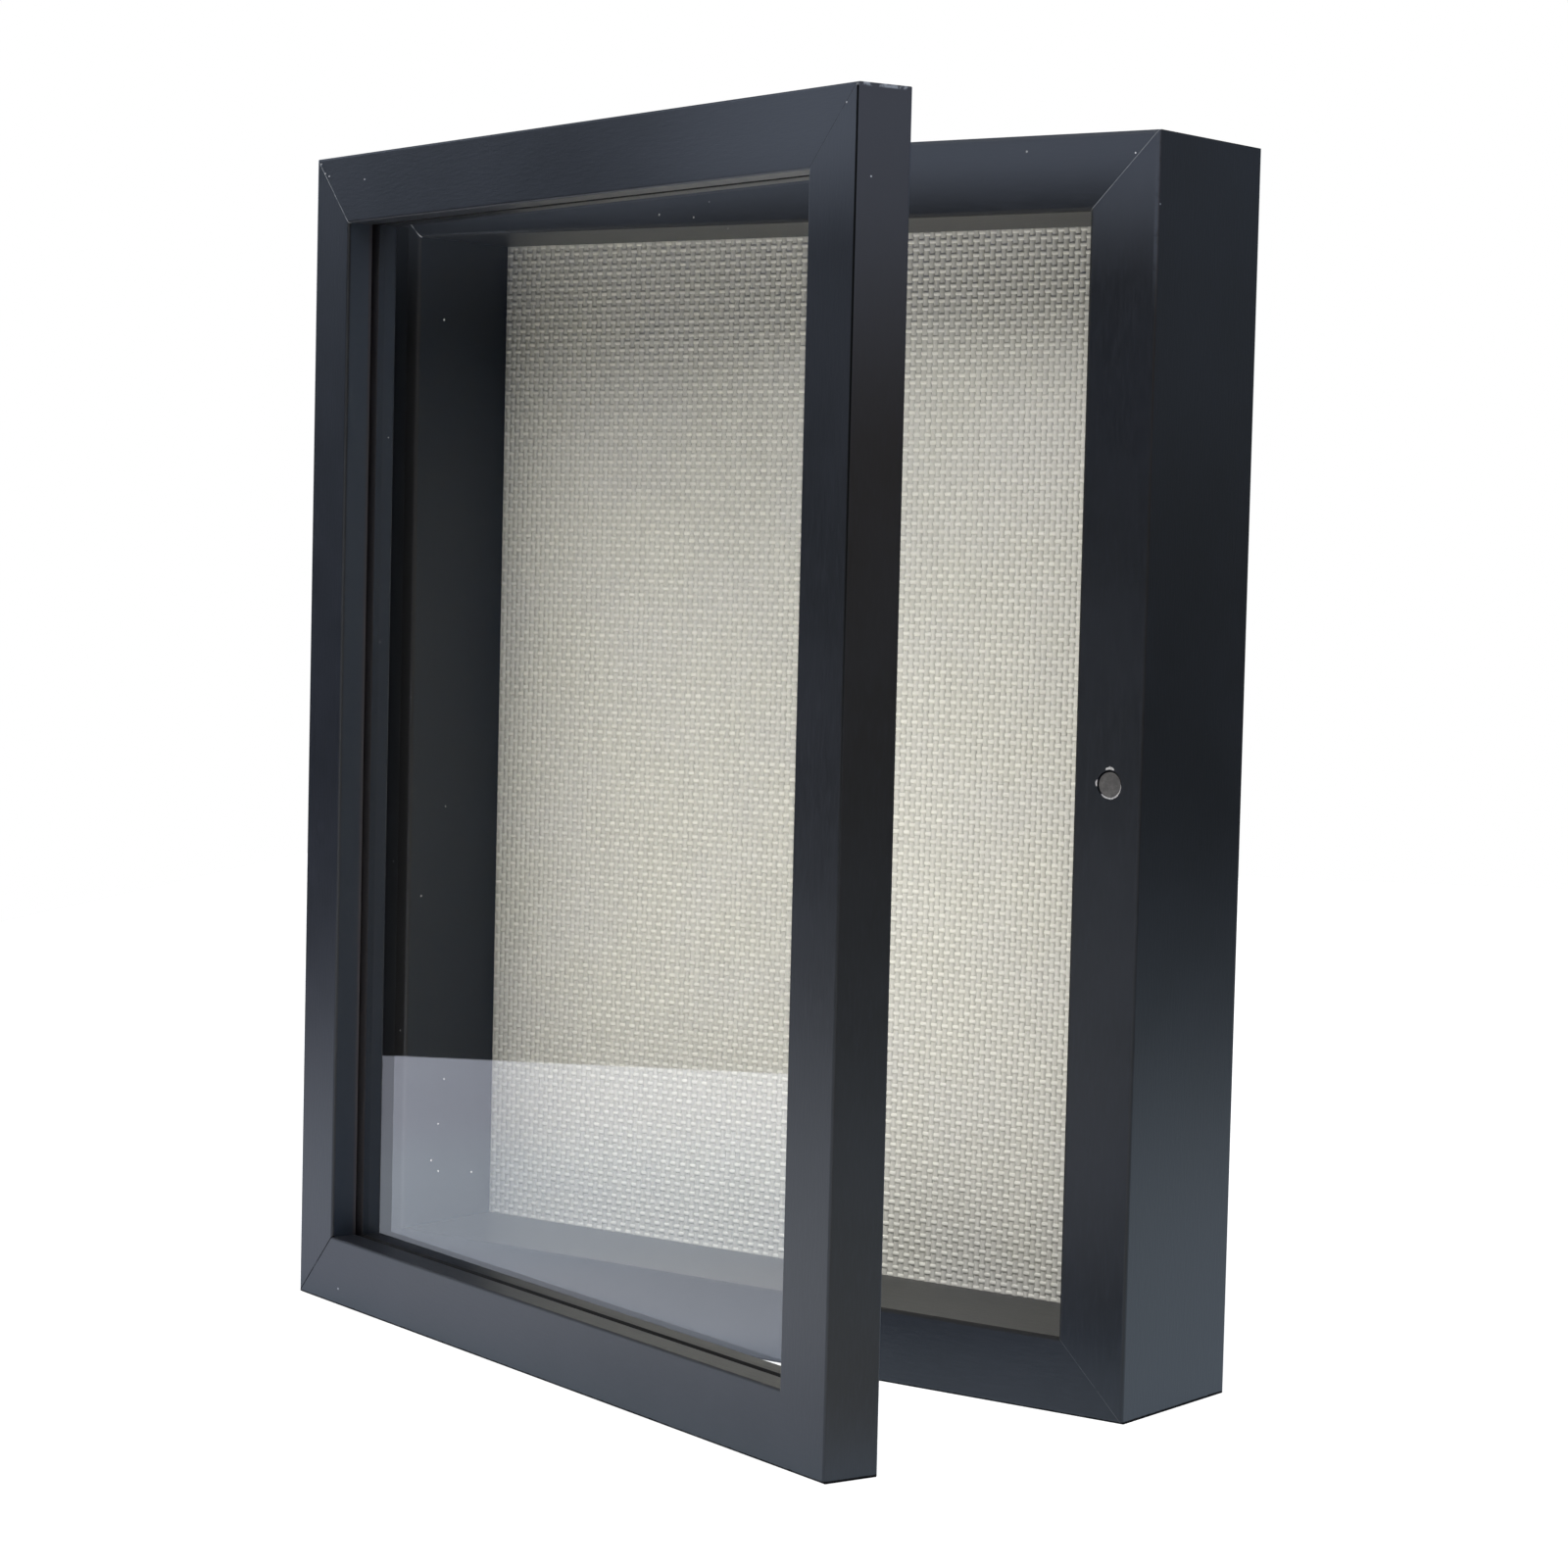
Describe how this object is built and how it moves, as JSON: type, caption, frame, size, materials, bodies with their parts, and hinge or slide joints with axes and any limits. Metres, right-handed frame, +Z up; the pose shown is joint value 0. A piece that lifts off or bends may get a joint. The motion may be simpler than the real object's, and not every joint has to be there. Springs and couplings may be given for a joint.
{
  "type": "front-opening butterfly display case",
  "caption": "Deep wall case with a hinged glazed door, a magnetic catch and a linen-covered pin board for mounted butterflies.",
  "frame": {"origin": "middle of the flat face that the case stands on", "axes": "+Z up, +Y to the wall behind the case, +X to the right seen from the front; the door opens towards -Y, about an upright axis at its left"},
  "size_m": [0.3354, 0.193, 0.407],
  "materials": {
    "foil_moulding": "satin black foil over fibreboard",
    "bright_steel": "bright",
    "magnet_nickel": "dull nickel",
    "board_foam": "matt",
    "linen": "woven",
    "hardboard": "matt",
    "zinc_plate": "satin",
    "bumper_rubber": "matt",
    "hinge_brass": "polished plate",
    "clear_glass": "clear float glass"
  },
  "bodies": {
    "case": {"case_top_rail": "foil_moulding", "case_bottom_rail": "foil_moulding", "case_left_stile": "foil_moulding", "case_right_stile": "foil_moulding", "case_corner_nails": "bright_steel", "case_magnet": "magnet_nickel", "pin_board": "board_foam", "linen_cover": "linen", "back_panel": "hardboard", "panel_points": "bright_steel", "left_hanger": "zinc_plate", "right_hanger": "zinc_plate", "wall_bumpers": "bumper_rubber", "lower_hinge_case_leaf": "hinge_brass", "upper_hinge_case_leaf": "hinge_brass", "lower_hinge_pin": "hinge_brass", "upper_hinge_pin": "hinge_brass", "case_hinge_screws": "hinge_brass"},
    "door": {"door_top_rail": "foil_moulding", "door_bottom_rail": "foil_moulding", "door_hinge_stile": "foil_moulding", "door_latch_stile": "foil_moulding", "door_glass": "clear_glass", "door_magnet": "magnet_nickel", "door_corner_nails": "bright_steel", "lower_hinge_door_leaf": "hinge_brass", "upper_hinge_door_leaf": "hinge_brass", "door_hinge_screws": "hinge_brass"}
  },
  "joints": [
    {"name": "door_hinge", "type": "hinge", "parent": "case", "child": "door", "pos_m": [-0.16735, -0.0323, 0], "axis": [0, 0, -1], "range_deg": [-18.9, 161.1]}
  ]
}
